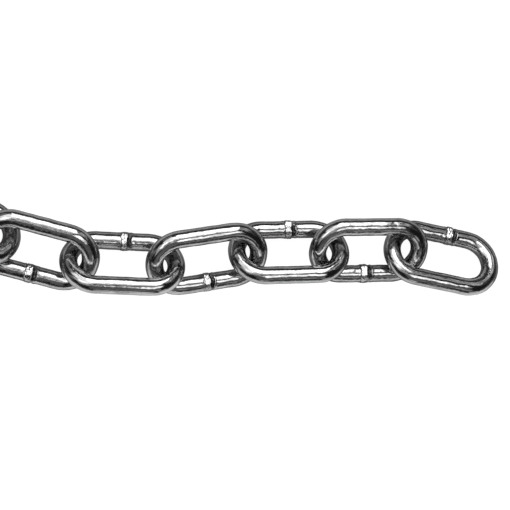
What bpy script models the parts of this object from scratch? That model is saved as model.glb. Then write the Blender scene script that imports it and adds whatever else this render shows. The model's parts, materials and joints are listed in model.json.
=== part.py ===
# A length of plated steel chain, lying in a gentle wave on a level floor.
# Ten welded links of round wire. They lean to one side and the other in turn, each resting on the
# leg that carries its weld. All sizes are in metres and radians, with +Z up.

import math

import bpy
import bmesh
from mathutils import Vector

# One link
WIRE = 0.0060
INNER_LENGTH = 0.0300
INNER_WIDTH = 0.0124
BEAD_WIDTH = 0.0032
BEAD_CROWN = 0.0014
BEAD_HEIGHT = 0.0004

# How finely a link is faceted
SIDES = 16
BOW_STEPS = 14

# How the chain lies, link by link from the free end at +X to the other end at -X
HEADINGS_DEG = (-10.3, 2.1, 2.6, 9.7, -1.4, -13.6, -32.3, -20.5, -8.5, 2.5)
LEANS_DEG = (23.3, 32.6, 30.3, 33.8, 33.9, 32.0, 30.5, 31.0, 32.0, 32.0)
SLACKS = (0.00335, 0.0020, 0.0015, 0.00145, 0.0013, 0.0029, 0.0021, 0.0018, 0.0017)
WELD_SHIFTS = (-0.0023, -0.0006, -0.0010, -0.00015, -0.0009, -0.00025, -0.0008, -0.0004, -0.0007, -0.0003)
ROOT = 4

# Bright zinc plating
ZINC_COLOUR = (0.52, 0.52, 0.53, 1.0)
ZINC_ROUGHNESS = 0.22

WIRE_RADIUS = WIRE / 2
BOW_RADIUS = (INNER_WIDTH + WIRE) / 2
BOW_CENTRE = (INNER_LENGTH + WIRE) / 2 - BOW_RADIUS
FLAT_RADIUS = WIRE_RADIUS * math.cos(math.pi / SIDES)


def clear_scene():
    for obj in list(bpy.data.objects):
        bpy.data.objects.remove(obj, do_unlink=True)


def zinc_material():
    material = bpy.data.materials.new("bright_zinc")
    material.use_nodes = True
    shader = material.node_tree.nodes["Principled BSDF"]
    shader.inputs["Base Color"].default_value = ZINC_COLOUR
    shader.inputs["Metallic"].default_value = 1.0
    shader.inputs["Roughness"].default_value = ZINC_ROUGHNESS
    material.diffuse_color = ZINC_COLOUR
    return material


def link_stations(weld_shift):
    """Once round a link's centre line: (point, outward direction, height of the weld bead there)."""
    stations = []
    for side, start in ((1, -math.pi / 2), (-1, math.pi / 2)):
        for step in range(BOW_STEPS + 1):
            angle = start + math.pi * step / BOW_STEPS
            outward = Vector((math.cos(angle), math.sin(angle), 0.0))
            stations.append((Vector((side * BOW_CENTRE, 0.0, 0.0)) + BOW_RADIUS * outward, outward, 0.0))
    for x, height in (
        (-BEAD_WIDTH / 2, 0.0),
        (-BEAD_CROWN / 2, BEAD_HEIGHT),
        (BEAD_CROWN / 2, BEAD_HEIGHT),
        (BEAD_WIDTH / 2, 0.0),
    ):
        middle = Vector((weld_shift + x, -BOW_RADIUS, 0.0))
        stations.append((middle, Vector((0.0, -1.0, 0.0)), height))
    return stations


def wire_ring(bm, lean, point, outward, bead):
    """One section of the wire. One of its flats faces the floor, and the bead is flush there."""
    flat_down = lean - math.pi / 2
    ring = []
    for side in range(SIDES):
        angle = flat_down + (side + 0.5) * math.tau / SIDES
        proud = 0.0 if side in (0, SIDES - 1) else bead
        offset = outward * math.cos(angle) + Vector((0.0, 0.0, math.sin(angle)))
        ring.append(bm.verts.new(point + (WIRE_RADIUS + proud) * offset))
    return ring


def link_mesh(name, lean, weld_shift, material):
    """A link about its own centre: long axis X, legs at +Y and -Y, weld near the middle of the -Y leg."""
    bm = bmesh.new()
    rings = [wire_ring(bm, lean, *station) for station in link_stations(weld_shift)]
    for ring, following in zip(rings, rings[1:] + rings[:1]):
        for side in range(SIDES):
            after = (side + 1) % SIDES
            bm.faces.new((ring[side], following[side], following[after], ring[after]))
    bmesh.ops.recalc_face_normals(bm, faces=bm.faces)
    mesh = bpy.data.meshes.new(name)
    bm.to_mesh(mesh)
    bm.free()
    mesh.materials.append(material)
    mesh.shade_smooth()
    mesh.set_sharp_from_angle(angle=math.radians(35))
    return mesh


def lay_chain():
    """Every link's centre in plan, and the points where neighbours cross and swing, from +X to -X."""
    along = [Vector((math.cos(a), math.sin(a), 0.0)) for a in map(math.radians, HEADINGS_DEG)]
    centres = [Vector()]
    crossings = []
    for index, slack in enumerate(SLACKS):
        reach = (INNER_LENGTH - slack) / 2
        crossings.append(centres[-1] - reach * along[index])
        centres.append(crossings[-1] - reach * along[index + 1])
    return centres, crossings


def add_pivot(name, place, parent, parent_place):
    """An empty on a vertical swing axis. What hangs on it swings with it."""
    pivot = bpy.data.objects.new(name, None)
    pivot.empty_display_size = WIRE
    pivot.location = place - parent_place
    pivot.parent = parent
    bpy.context.scene.collection.objects.link(pivot)
    return pivot


def add_link(index, material, centre, pivot, pivot_place):
    """Every other link is turned end for end, so it leans the other way and rests on its other side."""
    name = f"link_{index + 1:02d}"
    lean = math.radians(LEANS_DEG[index])
    turned = math.pi if index % 2 == 0 else 0.0
    height = BOW_RADIUS * math.sin(lean) + FLAT_RADIUS
    link = bpy.data.objects.new(name, link_mesh(name, lean, WELD_SHIFTS[index], material))
    link.rotation_euler = (lean, 0.0, math.radians(HEADINGS_DEG[index]) + turned)
    link.location = centre - pivot_place + Vector((0.0, 0.0, height))
    link.parent = pivot
    bpy.context.scene.collection.objects.link(link)


def centre_on_origin(lay):
    """Moves the whole lay until the origin is under the middle of its outline, on the floor."""
    bpy.context.view_layer.update()
    corners = [
        link.matrix_world @ vertex.co
        for link in bpy.data.objects
        if link.type == "MESH"
        for vertex in link.data.vertices
    ]
    for axis in (0, 1):
        low = min(corner[axis] for corner in corners)
        high = max(corner[axis] for corner in corners)
        lay.location[axis] -= (low + high) / 2


def build_chain():
    material = zinc_material()
    centres, crossings = lay_chain()
    lay = add_pivot("lay_of_chain", Vector(), None, Vector())
    add_link(ROOT, material, centres[ROOT], lay, Vector())
    for step, last in ((-1, -1), (1, len(centres))):
        parent, parent_place = lay, Vector()
        for index in range(ROOT + step, last, step):
            place = crossings[min(index, index - step)]
            name = f"swing_{index + 1 - step:02d}_{index + 1:02d}"
            parent = add_pivot(name, place, parent, parent_place)
            parent_place = place
            add_link(index, material, centres[index], parent, place)
    centre_on_origin(lay)


clear_scene()
build_chain()
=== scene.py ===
import json
import math

import bpy
import numpy as np
from mathutils import Matrix, Vector


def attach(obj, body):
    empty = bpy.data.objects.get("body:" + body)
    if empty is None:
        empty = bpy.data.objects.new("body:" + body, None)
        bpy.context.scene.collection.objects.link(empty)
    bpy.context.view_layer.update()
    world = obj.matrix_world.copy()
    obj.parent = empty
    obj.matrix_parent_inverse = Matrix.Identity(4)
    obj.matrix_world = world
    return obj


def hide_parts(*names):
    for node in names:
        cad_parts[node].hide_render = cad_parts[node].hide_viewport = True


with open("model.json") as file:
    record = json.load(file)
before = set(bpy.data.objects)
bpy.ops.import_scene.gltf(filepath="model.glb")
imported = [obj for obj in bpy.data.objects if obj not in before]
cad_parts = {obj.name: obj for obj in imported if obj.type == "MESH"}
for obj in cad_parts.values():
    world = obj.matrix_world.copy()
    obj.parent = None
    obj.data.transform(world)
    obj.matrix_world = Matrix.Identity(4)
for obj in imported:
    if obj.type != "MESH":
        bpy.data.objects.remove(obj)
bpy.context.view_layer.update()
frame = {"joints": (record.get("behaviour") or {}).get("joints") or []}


# The bent wire: a link starts as a piece of hard drawn round steel wire, cropped square and bent
# cold round a former until its ends meet, which gives it two straight legs and two half-round
# bows. All sizes are in metres.

WIRE = 0.0060
INNER_LENGTH = 0.0300
INNER_WIDTH = 0.0124
WIRE_RADIUS = WIRE / 2
BOW_RADIUS = (INNER_WIDTH + WIRE) / 2
BOW_CENTRE = (INNER_LENGTH + WIRE) / 2 - BOW_RADIUS
BOW_LENGTH = math.pi * BOW_RADIUS
WIRE_LENGTH = 4 * BOW_CENTRE + 2 * BOW_LENGTH

SIDES = 80
FINE_STEP = 0.00010
FINE_REACH = 0.0044
COARSE_STEP = 0.00036

WAVER_HEIGHT = 0.000022
WAVER_SHORTEST = 0.0050
DENT_HEIGHT = 0.0000070
DENT_SHORTEST = 0.0014


def places_along_wire():
    """Distances from the weld at which the wire gets a section: close together at the weld."""
    fine = np.arange(0.0, FINE_REACH, FINE_STEP)
    count = int((WIRE_LENGTH - 2 * FINE_REACH) / COARSE_STEP)
    coarse = np.linspace(FINE_REACH, WIRE_LENGTH - FINE_REACH, count)
    return np.concatenate([fine, coarse, WIRE_LENGTH - fine[:0:-1]])


def centre_line(run):
    """Points of the bent wire's centre line, and the direction in the link's plane that faces
    away from the link at each."""
    bow_from = np.array([BOW_CENTRE, 3 * BOW_CENTRE + BOW_LENGTH])
    turned = np.clip((run[:, None] - bow_from) / BOW_RADIUS, 0.0, math.pi).sum(axis=1)
    angle = turned - math.pi / 2
    straight = run - turned * BOW_RADIUS
    along = np.interp(
        straight,
        [0.0, BOW_CENTRE, 3 * BOW_CENTRE, 4 * BOW_CENTRE],
        [0.0, BOW_CENTRE, -BOW_CENTRE, 0.0],
    )
    outward = np.stack([np.cos(angle), np.sin(angle), np.zeros_like(angle)], axis=1)
    points = outward * BOW_RADIUS
    points[:, 0] += along
    return points, outward


def unevenness(rng, run, around, shortest, most_round, waves):
    """A smooth random unevenness of about unit height that closes on itself along and round
    the wire. Shortest is its shortest wave along the wire, most_round the most waves round it."""
    most_along = WIRE_LENGTH / shortest
    total = np.zeros(np.broadcast(run, around).shape)
    for _ in range(waves):
        cycles = rng.integers(1, int(most_along) + 1)
        turns = rng.integers(-most_round, most_round + 1)
        phase = rng.uniform(0.0, math.tau)
        total += np.cos(math.tau * cycles * run / WIRE_LENGTH + turns * around + phase)
    return total / math.sqrt(waves / 2)


# The butt weld: the wire's two ends are pressed together hot near the middle of one leg, which
# swells them. The burr that is squeezed out is trimmed level on top and has a cleft left open
# beside it, and the clamps leave a shallow bite on either side.

UPSET_HEIGHT = 0.00013
UPSET_PLACE = 0.00010
UPSET_HALF_WIDTH = 0.0021
SWELL_SPREAD = 0.20
EDGE_WANDER = 0.00010
EDGE_JAGS = 0.00007
COLLAR_HEIGHT = 0.00008
COLLAR_FROM = -0.00140
COLLAR_TO = 0.00066
COLLAR_EDGE = 0.00014
COLLAR_JAG_SHARE = 0.8
BURR_HEIGHT = 0.00036
BURR_HALF_TURN = math.radians(52.0)
TRIM_LEVEL = 0.00290
TRIM_SLOPE = 0.11
TRIM_TILT = math.radians(18.0)
TRIM_LEAST_COSINE = 0.3
CLEFT_PLACE = 0.00132
CLEFT_DEPTH = 0.00060
CLEFT_HALF_WIDTH = 0.00068
CLEFT_OFF_TOP = 0.35
CLEFT_TAPER = 5
CLEFT_OPEN_BELOW = 0.12
CLEFT_OPEN = 1.03
CLEFT_OPEN_SPREAD = 0.07
LIP_PLACE = 0.00205
LIP_HEIGHT = 0.00005
LIP_HALF_WIDTH = 0.00035
LIP_JAG_SHARE = 1.5
CREASE_PLACE = -0.00160
CREASE_DEPTH = 0.00010
CREASE_HALF_WIDTH = 0.00016
CREASE_SCALE = 0.6
BITE_PLACE = 0.0031
BITE_DEPTH = 0.00005
BITE_HALF_LENGTH = 0.0007
ROUGH_HEIGHT = 0.000030
ROUGH_SHORTEST = 0.0007
ROUGH_HALF_LENGTH = 0.0020
SPOTTED_HALF_LENGTH = 0.0030


def hump(offset, half_width, power=2):
    """A smooth hump of unit height: the higher its power, the flatter its top."""
    return np.exp(-np.abs(offset / half_width) ** power)


def weld_relief(rng, run, around, cleft_side, upwards):
    """How far the surface stands proud of the round wire near the weld at run 0, how scaly it
    is there, and how near the weld it is. Upwards is the angle round the wire that faces up."""
    from_weld = (run + WIRE_LENGTH / 2) % WIRE_LENGTH - WIRE_LENGTH / 2
    x = from_weld * cleft_side

    def uneven_round(most_round, waves):
        return unevenness(rng, 0 * run, around, WIRE_LENGTH, most_round, waves)

    wander = EDGE_WANDER * uneven_round(most_round=6, waves=9)
    jags = wander + EDGE_JAGS * uneven_round(most_round=18, waves=16)
    swell = 1.0 + SWELL_SPREAD * uneven_round(most_round=5, waves=8)
    upset = UPSET_HEIGHT * swell * hump(x - UPSET_PLACE, UPSET_HALF_WIDTH, power=4)

    open_at = upwards + rng.uniform(-CLEFT_OFF_TOP, CLEFT_OFF_TOP)
    facing = (0.5 + 0.5 * np.cos(around - open_at)) ** CLEFT_TAPER
    openness = CLEFT_OPEN_BELOW + (1.0 - CLEFT_OPEN_BELOW) * facing
    gaping = CLEFT_OPEN + CLEFT_OPEN_SPREAD * uneven_round(most_round=9, waves=10)
    openness = openness * gaping
    in_cleft = hump(x - CLEFT_PLACE - jags, CLEFT_HALF_WIDTH, power=4)
    cleft = CLEFT_DEPTH * openness * in_cleft

    from_trim = (around - upwards - cleft_side * TRIM_TILT + math.pi) % math.tau - math.pi
    trim_height = TRIM_LEVEL + TRIM_SLOPE * x
    trimmed = trim_height / np.maximum(np.cos(from_trim), TRIM_LEAST_COSINE) - WIRE_RADIUS
    burr = (BURR_HEIGHT - COLLAR_HEIGHT) * hump(from_trim, BURR_HALF_TURN, power=4)
    burr = COLLAR_HEIGHT * swell + burr
    in_collar = np.tanh((x - COLLAR_FROM + COLLAR_JAG_SHARE * jags) / COLLAR_EDGE)
    in_collar = 0.5 * (in_collar - np.tanh((x - COLLAR_TO - jags) / COLLAR_EDGE))
    collar = np.minimum(burr, trimmed) * in_collar

    lip = LIP_HEIGHT * swell * hump(x - LIP_PLACE - LIP_JAG_SHARE * jags, LIP_HALF_WIDTH)
    in_crease = hump(x - CREASE_PLACE + jags, CREASE_HALF_WIDTH) * (0.5 + 0.5 * swell)
    crease = CREASE_DEPTH * in_crease
    bites = BITE_DEPTH * hump(np.abs(x) - BITE_PLACE, BITE_HALF_LENGTH)
    bites = bites * (0.5 + 0.5 * np.cos(2 * around))
    rough = unevenness(rng, run, around, ROUGH_SHORTEST, most_round=14, waves=60)
    rough = ROUGH_HEIGHT * rough * hump(x, ROUGH_HALF_LENGTH, power=6)

    relief = upset + collar - cleft + lip - crease - bites + rough
    scaly = np.clip(openness * in_cleft + CREASE_SCALE * in_crease, 0.0, 1.0)
    return relief, scaly, hump(x, SPOTTED_HALF_LENGTH, power=4)


# The zinc plate: the welded links are barrel finished and then plated with bright zinc. It follows
# the wire's draw lines and the lines that bending leaves in the bows, is dull where links have
# rubbed, and doesn't cover the scale in the weld's cleft.

ZINC_BRIGHT = (0.600, 0.600, 0.602, 1.0)
ZINC_DULL = (0.36, 0.36, 0.362, 1.0)
ZINC_RUBBED = (0.50, 0.50, 0.50, 1.0)
SCALE_BLACK = (0.030, 0.030, 0.031, 1.0)
ZINC_EDGE_TINT = (0.85, 0.85, 0.855, 1.0)

SCUFF_DULLING = 0.6
BRIGHT_ROUGHNESS = 0.09
DULL_ROUGHNESS = 0.17
SCUFF_ROUGHNESS = 0.12
RUB_ROUGHNESS = 0.04
SCALE_ROUGHNESS = 0.30

PLATE_RELIEF = 0.000006
DRAW_LINE_HEIGHT = 1.2
RIPPLE_HEIGHT = 2.9
GRAIN_HEIGHT = 0.55
BEND_LINE_HEIGHT = 6.0
SCUFF_HEIGHT = 1.9
RUBBED_SCUFF_HEIGHT = 1.2
RUBBED_LINE_HEIGHT = 1.8
BURNT_GRAIN_HEIGHT = 3.0

zinc = bpy.data.materials.new("bright_zinc_plate")
zinc.use_nodes = True
tree = zinc.node_tree
shader = tree.nodes["Principled BSDF"]
shader.inputs["Metallic"].default_value = 1.0
shader.inputs["Specular Tint"].default_value = ZINC_EDGE_TINT


def add_node(kind, **values):
    """A node of the plate's finish. Names of its sockets go in with underscores for spaces."""
    made = tree.nodes.new(kind)
    for name, value in values.items():
        if hasattr(made, name):
            setattr(made, name, value)
        else:
            made.inputs[name.replace("_", " ")].default_value = value
    return made


def wire_noise(scale, detail, roughness=0.5):
    """Noise laid along the wire: scale gives its spots per metre along, out and up."""
    mapping = add_node("ShaderNodeMapping", Scale=scale)
    tree.links.new(place.outputs["Vector"], mapping.inputs["Vector"])
    noise = add_node("ShaderNodeTexNoise", Scale=1.0, Detail=detail, Roughness=roughness)
    tree.links.new(mapping.outputs["Vector"], noise.inputs["Vector"])
    return noise.outputs["Fac"]


def on_wire(name):
    """One value that each point of a link's mesh carries."""
    return add_node("ShaderNodeAttribute", attribute_name=name).outputs["Fac"]


def spread(source, low, high, to_low=0.0, to_high=1.0):
    """Stretches low to high of a noise over a new range, and clips the rest."""
    ranged = add_node(
        "ShaderNodeMapRange", From_Min=low, From_Max=high, To_Min=to_low, To_Max=to_high
    )
    tree.links.new(source, ranged.inputs["Value"])
    return ranged.outputs["Result"]


def combine(kind, first, second):
    math_node = add_node("ShaderNodeMath", operation=kind)
    for socket, value in zip(math_node.inputs, (first, second)):
        if isinstance(value, (int, float)):
            socket.default_value = value
        else:
            tree.links.new(value, socket)
    return math_node.outputs["Value"]


def times(first, second):
    return combine("MULTIPLY", first, second)


def add_up(total, *shares):
    for share in shares:
        total = combine("ADD", total, share)
    return total


def blend_colours(share, first, second):
    mix = add_node("ShaderNodeMix", data_type="RGBA")
    tree.links.new(share, mix.inputs["Factor"])
    sockets = [s for s in mix.inputs if s.type == "RGBA"]
    for socket, value in zip(sockets, (first, second)):
        if isinstance(value, tuple):
            socket.default_value = value
        else:
            tree.links.new(value, socket)
    return [s for s in mix.outputs if s.type == "RGBA"][0]


place = add_node("ShaderNodeAttribute", attribute_name="wire_place")
rubbed = on_wire("rubbed")
burnt = on_wire("burnt")
beside_weld = on_wire("beside_weld")
bent = on_wire("bent")

draw_lines = wire_noise((60.0, 3200.0, 3200.0), 3.0)
ripple = wire_noise((150.0, 1100.0, 1100.0), 2.0)
bend_lines = wire_noise((45.0, 1000.0, 1000.0), 1.0)
mottle = wire_noise((260.0, 420.0, 420.0), 4.0)
grain = wire_noise((2600.0, 2600.0, 2600.0), 3.0, 0.6)
scuff = wire_noise((700.0, 2200.0, 2200.0), 5.0, 0.65)
patches = wire_noise((70.0, 160.0, 160.0), 2.0)
spots = wire_noise((1500.0, 1500.0, 1500.0), 2.0)

scuffed = times(spread(scuff, 0.50, 0.62), spread(patches, 0.42, 0.60))
scale_in_cleft = times(spread(burnt, 0.25, 0.60), spread(spots, 0.70, 0.52, 0.62, 1.0))
scale_spots = times(spread(spots, 0.60, 0.66), beside_weld)
scale = combine("MAXIMUM", scale_in_cleft, scale_spots)

colour = blend_colours(spread(mottle, 0.35, 0.70), ZINC_BRIGHT, ZINC_DULL)
colour = blend_colours(times(scuffed, SCUFF_DULLING), colour, ZINC_DULL)
colour = blend_colours(times(rubbed, spread(scuff, 0.35, 0.60)), colour, ZINC_RUBBED)
colour = blend_colours(scale, colour, SCALE_BLACK)
tree.links.new(colour, shader.inputs["Base Color"])

roughness = add_up(
    spread(mottle, 0.30, 0.75, BRIGHT_ROUGHNESS, DULL_ROUGHNESS),
    times(scuffed, SCUFF_ROUGHNESS),
    times(rubbed, RUB_ROUGHNESS),
    times(scale, SCALE_ROUGHNESS),
)
tree.links.new(roughness, shader.inputs["Roughness"])

height = add_up(
    times(draw_lines, DRAW_LINE_HEIGHT),
    times(ripple, RIPPLE_HEIGHT),
    times(grain, GRAIN_HEIGHT),
    times(times(bend_lines, bent), BEND_LINE_HEIGHT),
    times(times(scuff, SCUFF_HEIGHT), spread(patches, 0.40, 0.65, 0.25, 1.0)),
    times(times(scuff, rubbed), RUBBED_SCUFF_HEIGHT),
    times(times(draw_lines, rubbed), RUBBED_LINE_HEIGHT),
    times(times(grain, burnt), BURNT_GRAIN_HEIGHT),
)
bump = add_node("ShaderNodeBump", Strength=1.0, Distance=PLATE_RELIEF)
tree.links.new(height, bump.inputs["Height"])
tree.links.new(bump.outputs["Normal"], shader.inputs["Normal"])


# The ten links: the chain is made link through link, each bent round its neighbour and welded. On
# a level surface the links lean to one side and the other in turn, each on the leg that carries
# its weld. The first is the free end at the right, the last is the far end at the left.

HEADINGS_DEG = (-10.3, 2.1, 2.6, 9.7, -1.4, -13.6, -32.3, -20.5, -8.5, 2.5)
LEANS_DEG = (23.3, 32.6, 30.3, 33.8, 33.9, 32.0, 30.5, 31.0, 32.0, 32.0)
SLACKS = (0.00335, 0.0020, 0.0015, 0.00145, 0.0013, 0.0029, 0.0021, 0.0018, 0.0017)
WELD_SHIFTS = (
    -0.0023, -0.0006, -0.0010, -0.00015, -0.0009, -0.00025, -0.0008, -0.0004, -0.0007, -0.0003
)
RESTING_FLATS = 16
REST_RADIUS = WIRE_RADIUS * math.cos(math.pi / RESTING_FLATS)
PLACE_SHIFT = 0.21
FIRST_SEED = 4100
BENT_SHARE = 0.8
RUB_STEEPNESS = 1.4
RUB_START = 0.1


def link_centre(index):
    """Where a link's middle lies: half a reach in plan from the point where it hangs in its
    neighbour, and as high as its lean lifts it off the leg it rests on."""
    heading = math.radians(HEADINGS_DEG[index])
    along = Vector((math.cos(heading), math.sin(heading), 0.0))
    towards = 1.0 if index == 0 else -1.0
    crossing = max(index - 1, 0)
    right_link, left_link = f"{crossing + 1:02d}", f"{crossing + 2:02d}"
    names = (f"swing_{left_link}_{right_link}", f"swing_{right_link}_{left_link}")
    pivot = next(Vector(j["pos_m"]) for j in frame["joints"] if j["name"] in names)
    reach = (INNER_LENGTH - SLACKS[crossing]) / 2
    centre = pivot + towards * reach * along
    centre.z = BOW_RADIUS * math.sin(math.radians(LEANS_DEG[index])) + REST_RADIUS
    return centre


def keep_on_mesh(mesh, name, values):
    """Stores one value for each point of a link's mesh, for the plate's finish to read."""
    values = np.broadcast_to(values, (len(mesh.vertices) // SIDES, SIDES)).astype(np.float32)
    mesh.attributes.new(name, "FLOAT", "POINT").data.foreach_set("value", values.ravel())


for index in range(len(HEADINGS_DEG)):
    rng = np.random.default_rng(FIRST_SEED + index)
    run = places_along_wire()
    points, outward = centre_line((run + WELD_SHIFTS[index]) % WIRE_LENGTH)
    run = run[:, None]
    around = (np.arange(SIDES) * math.tau / SIDES)[None, :]
    turned_over = index % 2 == 0
    lean = math.radians(LEANS_DEG[index])

    waver = unevenness(rng, run, around, WAVER_SHORTEST, most_round=3, waves=24)
    dents = unevenness(rng, run, around, DENT_SHORTEST, most_round=9, waves=70)
    cleft_side = -1.0 if turned_over else 1.0
    relief, scaly, near_weld = weld_relief(rng, run, around, cleft_side, math.pi / 2 + lean)
    radius = WIRE_RADIUS + WAVER_HEIGHT * waver + DENT_HEIGHT * dents + relief
    up = np.array([0.0, 0.0, 1.0])
    offset = outward[:, None, :] * np.cos(around)[..., None] + up * np.sin(around)[..., None]
    surface = points[:, None, :] + radius[..., None] * offset

    heading = math.radians(HEADINGS_DEG[index]) + (math.pi if turned_over else 0.0)
    turn = np.array(Matrix.Rotation(heading, 3, "Z") @ Matrix.Rotation(lean, 3, "X"))
    surface = surface.reshape(-1, 3) @ turn.T + np.array(link_centre(index))
    surface[:, 2] = np.maximum(surface[:, 2], 0.0)

    rows = len(run)
    ring = np.arange(rows * SIDES).reshape(rows, SIDES)
    ahead = np.roll(ring, -1, axis=0)
    corners = [ring, ahead, np.roll(ahead, -1, axis=1), np.roll(ring, -1, axis=1)]
    faces = np.stack(corners, axis=-1)
    name = f"link_{index + 1:02d}"
    mesh = bpy.data.meshes.new("plated_" + name)
    mesh.from_pydata(surface.tolist(), [], faces.reshape(-1, 4).tolist())
    mesh.shade_smooth()

    along = run + 0 * around + PLACE_SHIFT * index
    round_wire = [WIRE_RADIUS * np.cos(around) + 0 * run, WIRE_RADIUS * np.sin(around) + 0 * run]
    wire_place = np.stack([along, *round_wire], axis=-1).astype(np.float32)
    mesh.attributes.new("wire_place", "FLOAT_VECTOR", "POINT").data.foreach_set(
        "vector", wire_place.ravel()
    )
    in_bow = (np.abs(points[:, 0]) - BOW_CENTRE) / (BENT_SHARE * BOW_RADIUS)
    in_bow = np.clip(in_bow, 0.0, 1.0)[:, None]
    inner = np.clip(-np.cos(around) * RUB_STEEPNESS - RUB_START, 0.0, 1.0)
    keep_on_mesh(mesh, "rubbed", in_bow * inner)
    keep_on_mesh(mesh, "bent", in_bow)
    keep_on_mesh(mesh, "burnt", scaly)
    keep_on_mesh(mesh, "beside_weld", near_weld)

    mesh.materials.append(zinc)
    link = bpy.data.objects.new("plated_" + name, mesh)
    bpy.context.scene.collection.objects.link(link)
    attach(link, name)
    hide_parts(name)


# The floor: a plain white level surface, lit so evenly that hardly a shadow shows on it. What the
# metal mirrors is a grey sheet just under it, painted shade of the floor, with a pale card on the
# near side as painted light and a grey one on the far side as painted shade.

FLOOR_SIDE = 6.0
FLOOR_DROP = 0.00003
FLOOR_GLOW = 0.96
FLOOR_WHITE = (0.10, 0.10, 0.10, 1.0)
# Painted floor shade and light for the metal to mirror: the grey sheet, the pale near card, the
# grey far card.
MIRRORED_FLOOR_SHADE = (0.20, 0.20, 0.20, 1.0)
NEAR_CARD_PAINTED_LIGHT = (0.68, 0.68, 0.68, 1.0)
FAR_CARD_PAINTED_SHADE = (0.38, 0.38, 0.38, 1.0)
CARD_HALF = 0.40
NEAR_CARD = (-0.26, -0.030)
FAR_CARD = (0.008, 0.24)


def flat_sheet(name, colour, glow, x_half, y_from, y_to, drop):
    """A matt sheet that lies level, drop below the chain's lowest point."""
    corners = [
        (-x_half, y_from, -drop),
        (x_half, y_from, -drop),
        (x_half, y_to, -drop),
        (-x_half, y_to, -drop),
    ]
    mesh = bpy.data.meshes.new(name)
    mesh.from_pydata(corners, [], [(0, 1, 2, 3)])
    matt = bpy.data.materials.new(name + "_paint")
    matt.use_nodes = True
    paint = matt.node_tree.nodes["Principled BSDF"]
    paint.inputs["Base Color"].default_value = colour
    paint.inputs["Roughness"].default_value = 1.0
    paint.inputs["Specular IOR Level"].default_value = 0.0
    paint.inputs["Emission Color"].default_value = (1.0, 1.0, 1.0, 1.0)
    paint.inputs["Emission Strength"].default_value = glow
    mesh.materials.append(matt)
    sheet = bpy.data.objects.new(name, mesh)
    bpy.context.scene.collection.objects.link(sheet)
    sheet.visible_diffuse = False
    return sheet


half = FLOOR_SIDE / 2
floor = flat_sheet("white_floor", FLOOR_WHITE, FLOOR_GLOW, half, -half, half, FLOOR_DROP)
floor.visible_glossy = False
floor.visible_shadow = False
# Seen only in the metal: the grey sheet is painted shade of the floor, the near card painted
# light, the far card painted shade.
mirrored = flat_sheet("mirrored_floor", MIRRORED_FLOOR_SHADE, 0.0, half, -half, half, 3 * FLOOR_DROP)
mirrored.visible_camera = False
near_card = flat_sheet("near_card", NEAR_CARD_PAINTED_LIGHT, 0.0, CARD_HALF, *NEAR_CARD, 2 * FLOOR_DROP)
near_card.visible_camera = False
far_card = flat_sheet("far_card", FAR_CARD_PAINTED_SHADE, 0.0, CARD_HALF, *FAR_CARD, 2 * FLOOR_DROP)
far_card.visible_camera = False


# The light: a large softbox towards the far side, one on the near side and two on the left give
# the metal its white bands, and dim strips and fills between them its greys. Round them stand a
# dark room, a pale backdrop and a dim wall that shows only in the metal.

AIM = Vector((0.056, -0.014, 0.0))
LIGHT_DISTANCE = 0.60
WATTS_PER_SQUARE_METRE = 4


def softbox(name, x_deg, y_deg, width_deg, height_deg, radiance):
    """A softbox that faces the chain. Its place is given by the angles off the vertical at which
    the chain sees it, to the right and to the far side, and its size by the angles it fills:
    width across the line to the point straight above, height along it."""
    off = math.radians(math.hypot(x_deg, y_deg))
    bearing = math.atan2(y_deg, x_deg)
    sideways = math.sin(off)
    direction = Vector(
        (sideways * math.cos(bearing), sideways * math.sin(bearing), math.cos(off))
    )
    data = bpy.data.lights.new(name, "AREA")
    data.shape = "RECTANGLE"
    data.size = 2 * LIGHT_DISTANCE * math.tan(math.radians(width_deg / 2))
    data.size_y = 2 * LIGHT_DISTANCE * math.tan(math.radians(height_deg / 2))
    data.energy = radiance * WATTS_PER_SQUARE_METRE * data.size * data.size_y
    lamp = bpy.data.objects.new(name, data)
    lamp.location = AIM + LIGHT_DISTANCE * direction
    lamp.rotation_euler = direction.to_track_quat("Z", "Y").to_euler()
    bpy.context.scene.collection.objects.link(lamp)
    lamp.visible_camera = False
    return lamp


softbox("key_softbox", 3.4, 38.8, 32.4, 37.8, 2.40)
softbox("key_skirt", 7.4, 14.4, 7.2, 12.0, 1.15)
softbox("key_skirt_left", -2.1, 14.4, 11.8, 12.0, 0.62)
softbox("key_skirt_right", 15.5, 15.6, 9.0, 9.8, 0.50)
softbox("middle_fill", 5.0, 3.0, 16.0, 10.0, 0.12)
softbox("middle_strip", -0.8, 3.2, 6.0, 12.0, 0.40)
softbox("middle_left_fill", -8.0, 3.0, 12.0, 10.0, 0.54)
softbox("near_softbox", 13.4, -14.4, 28.4, 17.0, 1.62)
softbox("near_fill", 5.0, -42.0, 46.0, 44.0, 0.100)
softbox("top_left_softbox", -16.5, 12.3, 40.6, 14.0, 1.15)
softbox("near_left_strip", -12.8, -5.2, 33.1, 6.8, 0.66)
softbox("left_strip", -34.4, -3.0, 22.0, 13.0, 1.40)
softbox("left_fill", -35.6, -9.1, 38.3, 33.2, 0.40)
softbox("left_softbox", -27.6, 28.4, 32.7, 22.2, 1.15)
softbox("upper_left_fill", -39.0, 47.0, 24.0, 22.0, 0.18)
softbox("far_left_fill", -58.0, -5.0, 16.0, 36.0, 0.14)
softbox("right_fill", 37.5, 32.0, 19.0, 36.0, 0.32)
softbox("right_bow_strip", 36.0, 47.0, 24.0, 3.0, 0.65)
softbox("right_strip", 40.0, 19.0, 16.0, 4.0, 0.75)
softbox("right_dim_fill", 54.0, 14.0, 24.0, 13.0, 0.055)
softbox("near_right_strip", 25.0, -50.0, 14.0, 7.0, 0.28)
softbox("low_near_fill", 1.6, -59.0, 18.2, 12.0, 0.050)
softbox("low_near_strip", 1.6, -78.5, 18.2, 14.4, 0.54)
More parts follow.
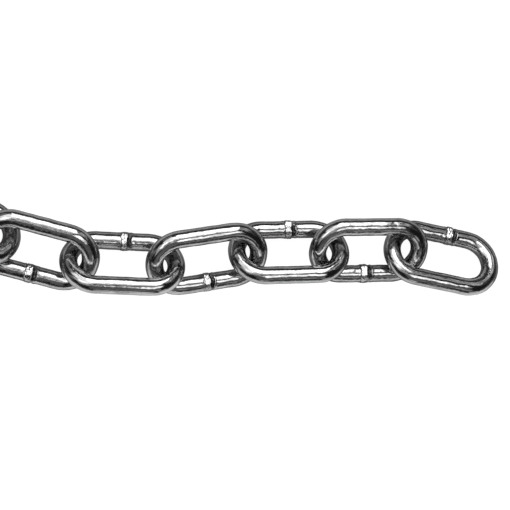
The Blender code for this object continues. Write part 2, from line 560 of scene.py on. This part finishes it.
softbox("low_right_strip", 46.2, -70.1, 23.4, 24.9, 0.40)
floor_lamp = softbox("floor_lamp", 0.0, -50.0, 40.0, 30.0, 6.0)
floor_lamp.visible_glossy = False

ROOM_GLOW = 0.014
BACKDROP_GLOW = 0.95
WALL_GLOW = 0.07
WALL_RADIUS = 2.0
WALL_HEIGHT = 0.55

room = bpy.data.worlds.new("dark_room")
room.use_nodes = True
room_light = room.node_tree.nodes["Background"]
room_light.inputs["Color"].default_value = (1.0, 1.0, 1.0, 1.0)
room_light.inputs["Strength"].default_value = ROOM_GLOW
bpy.context.scene.world = room
bpy.context.scene.view_settings.view_transform = "Standard"


def glowing(shape, name, strength):
    """Gives a shape that stands round the chain an even glow, which lights nothing matt."""
    shape.name = name
    paper = bpy.data.materials.new(name + "_paint")
    paper.use_nodes = True
    nodes = paper.node_tree.nodes
    glow = nodes.new("ShaderNodeEmission")
    glow.inputs["Strength"].default_value = strength
    output = nodes["Material Output"]
    paper.node_tree.links.new(glow.outputs["Emission"], output.inputs["Surface"])
    shape.data.materials.append(paper)
    shape.visible_diffuse = False
    shape.visible_shadow = False
    return shape


bpy.ops.mesh.primitive_uv_sphere_add(segments=48, ring_count=24, radius=FLOOR_SIDE / 2)
backdrop = glowing(bpy.context.object, "pale_backdrop", BACKDROP_GLOW)
backdrop.visible_glossy = False
bpy.ops.mesh.primitive_cylinder_add(
    vertices=48,
    radius=WALL_RADIUS,
    depth=WALL_HEIGHT,
    end_fill_type="NOTHING",
    location=(0.0, 0.0, WALL_HEIGHT / 2),
)
wall = glowing(bpy.context.object, "dim_wall", WALL_GLOW)
wall.visible_camera = False


# The camera: it looks down almost square on the chain from about half a metre, a little from the
# left and the near side, and takes in the free end and six and a half links.

CAMERA_DISTANCE = 0.472
CAMERA_TARGET = Vector((0.055918, -0.013872, 0.0080))
CAMERA_LEFT = math.radians(10.154)
CAMERA_NEAR = math.radians(3.130)
CAMERA_SPIN = math.radians(0.759)
PIXELS_PER_METRE = 2946.6
PICTURE_PIXELS = 510
FILM_WIDTH = 36.0
NEAREST_SEEN = 0.01
FARTHEST_SEEN = 20.0

back = Vector((-math.sin(CAMERA_LEFT), -math.sin(CAMERA_NEAR), 0.0))
back.z = math.sqrt(1.0 - back.length_squared)
level = Vector((0.0, 1.0, 0.0)).cross(back).normalized()
upright = back.cross(level)
right = math.cos(CAMERA_SPIN) * level + math.sin(CAMERA_SPIN) * upright
upright = back.cross(right)
camera_data = bpy.data.cameras.new("camera")
camera_data.sensor_width = FILM_WIDTH
camera_data.lens = PIXELS_PER_METRE * CAMERA_DISTANCE / PICTURE_PIXELS * FILM_WIDTH
camera_data.clip_start = NEAREST_SEEN
camera_data.clip_end = FARTHEST_SEEN
camera = bpy.data.objects.new("camera", camera_data)
aimed = Matrix((right, upright, back)).transposed().to_4x4()
camera.matrix_world = Matrix.Translation(CAMERA_TARGET + CAMERA_DISTANCE * back) @ aimed
bpy.context.scene.collection.objects.link(camera)
bpy.context.scene.camera = camera
